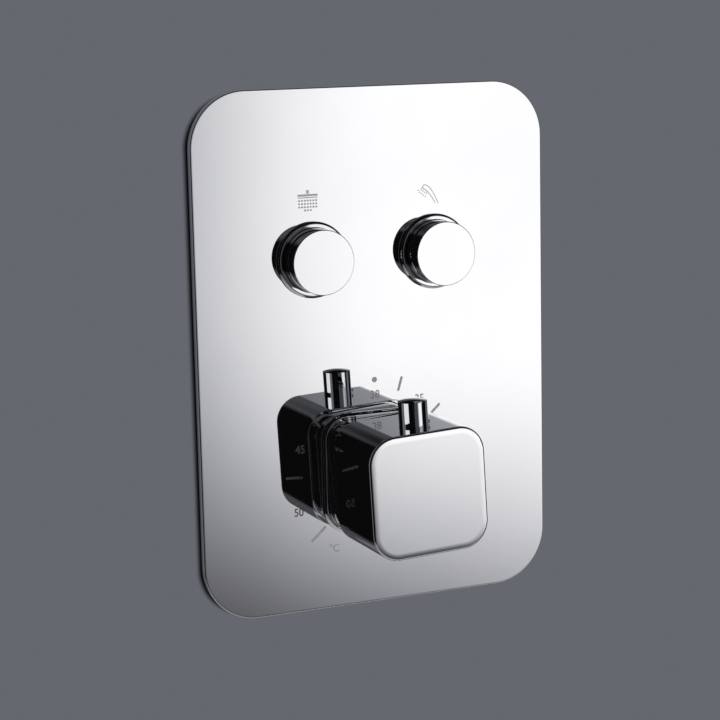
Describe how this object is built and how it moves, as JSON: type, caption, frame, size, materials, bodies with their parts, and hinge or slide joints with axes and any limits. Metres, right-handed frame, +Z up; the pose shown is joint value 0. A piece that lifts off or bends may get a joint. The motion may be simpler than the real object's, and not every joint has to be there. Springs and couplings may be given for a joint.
{
  "type": "concealed thermostatic shower valve",
  "caption": "Concealed thermostatic shower valve: rounded chrome cover plate with push buttons, a square temperature handle with an override button, and a brass body behind it.",
  "frame": {"origin": "middle of the cover plate's back, on the finished wall surface", "axes": "+Z up, +X to the right as seen from the room, -Y out of the wall into the room"},
  "size_m": [0.156, 0.1318, 0.215],
  "materials": {
    "mirror_chrome": "polished",
    "override_chrome": "polished",
    "foam": "closed-cell foam",
    "black_rubber": "smooth",
    "brass": "cast and machined",
    "steel": "zinc plated",
    "spring_steel": "bright wire",
    "white_plastic": "moulded",
    "grey_plastic": "moulded",
    "copper": "drawn"
  },
  "bodies": {
    "valve": {"base_ring_seal": "black_rubber", "bracket_screws": "steel", "cold_check_valve_housing": "white_plastic", "cold_check_valve_spring": "spring_steel", "cold_inlet_strainer": "spring_steel", "cold_inlet_union": "brass", "front_plate": "mirror_chrome", "handle_base_ring": "mirror_chrome", "hot_check_valve_housing": "white_plastic", "hot_check_valve_spring": "spring_steel", "hot_inlet_strainer": "spring_steel", "hot_inlet_union": "brass", "left_button_collar": "mirror_chrome", "left_button_spring": "spring_steel", "left_cartridge_housing": "grey_plastic", "left_cartridge_nut": "brass", "left_cartridge_orings": "black_rubber", "left_collar_seal": "black_rubber", "left_outlet_union": "brass", "mounting_bracket": "steel", "plate_gasket": "foam", "return_spring": "spring_steel", "right_button_collar": "mirror_chrome", "right_button_spring": "spring_steel", "right_cartridge_housing": "grey_plastic", "right_cartridge_nut": "brass", "right_cartridge_orings": "black_rubber", "right_collar_seal": "black_rubber", "right_outlet_union": "brass", "stop_ring": "grey_plastic", "thermostat_end_cap": "white_plastic", "thermostat_housing": "white_plastic", "thermostat_nut": "brass", "thermostat_orings": "black_rubber", "valve_body": "brass"},
    "handle": {"handle_body": "mirror_chrome", "handle_skirt": "mirror_chrome", "handle_hub": "brass", "handle_grub_screw": "steel", "handle_screw_plug": "grey_plastic", "thermostat_spindle": "brass", "spindle_orings": "black_rubber", "override_spring": "spring_steel"},
    "override": {"override_button": "override_chrome", "override_pin": "steel"},
    "regulator": {"regulating_nut": "brass", "overload_spring": "spring_steel", "wax_element": "copper", "mixing_shuttle": "white_plastic"},
    "left_button": {"left_button_cap": "mirror_chrome", "left_push_rod": "brass", "left_piston_seal": "black_rubber"},
    "right_button": {"right_button_cap": "mirror_chrome", "right_push_rod": "brass", "right_piston_seal": "black_rubber"},
    "hot_poppet": {"hot_check_valve_poppet": "white_plastic"},
    "cold_poppet": {"cold_check_valve_poppet": "white_plastic"}
  },
  "joints": [
    {"name": "handle_turn", "type": "hinge", "parent": "valve", "child": "handle", "pos_m": [0, -0.03, -0.0508], "axis": [0, -1, 0], "range_deg": [-135, 118]},
    {"name": "override_press", "type": "slide", "parent": "handle", "child": "override", "axis": [0.0471, 0, -0.9989], "range_m": [0, 0.0025], "stiffness_N_per_m": 400, "springref_m": -0.0005, "deforming": ["override_spring"]},
    {"name": "regulator_travel", "type": "slide", "parent": "valve", "child": "regulator", "axis": [0, 1, 0], "range_m": [-0.002, 0.0018], "deforming": ["return_spring"]},
    {"name": "left_button_press", "type": "slide", "parent": "valve", "child": "left_button", "axis": [0, 1, 0], "range_m": [0, 0.005], "stiffness_N_per_m": 600, "springref_m": -0.002, "deforming": ["left_button_spring"]},
    {"name": "right_button_press", "type": "slide", "parent": "valve", "child": "right_button", "axis": [0, 1, 0], "range_m": [0, 0.005], "stiffness_N_per_m": 600, "springref_m": -0.002, "deforming": ["right_button_spring"]},
    {"name": "hot_check_valve_lift", "type": "slide", "parent": "valve", "child": "hot_poppet", "axis": [1, 0, 0], "range_m": [0, 0.002], "stiffness_N_per_m": 100, "springref_m": -0.001, "deforming": ["hot_check_valve_spring"]},
    {"name": "cold_check_valve_lift", "type": "slide", "parent": "valve", "child": "cold_poppet", "axis": [-1, 0, 0], "range_m": [0, 0.002], "stiffness_N_per_m": 100, "springref_m": -0.001, "deforming": ["cold_check_valve_spring"]}
  ],
  "couplings": [
    {"joint": "regulator_travel", "follows": "handle_turn", "m_per_rad": 0.0008}
  ]
}
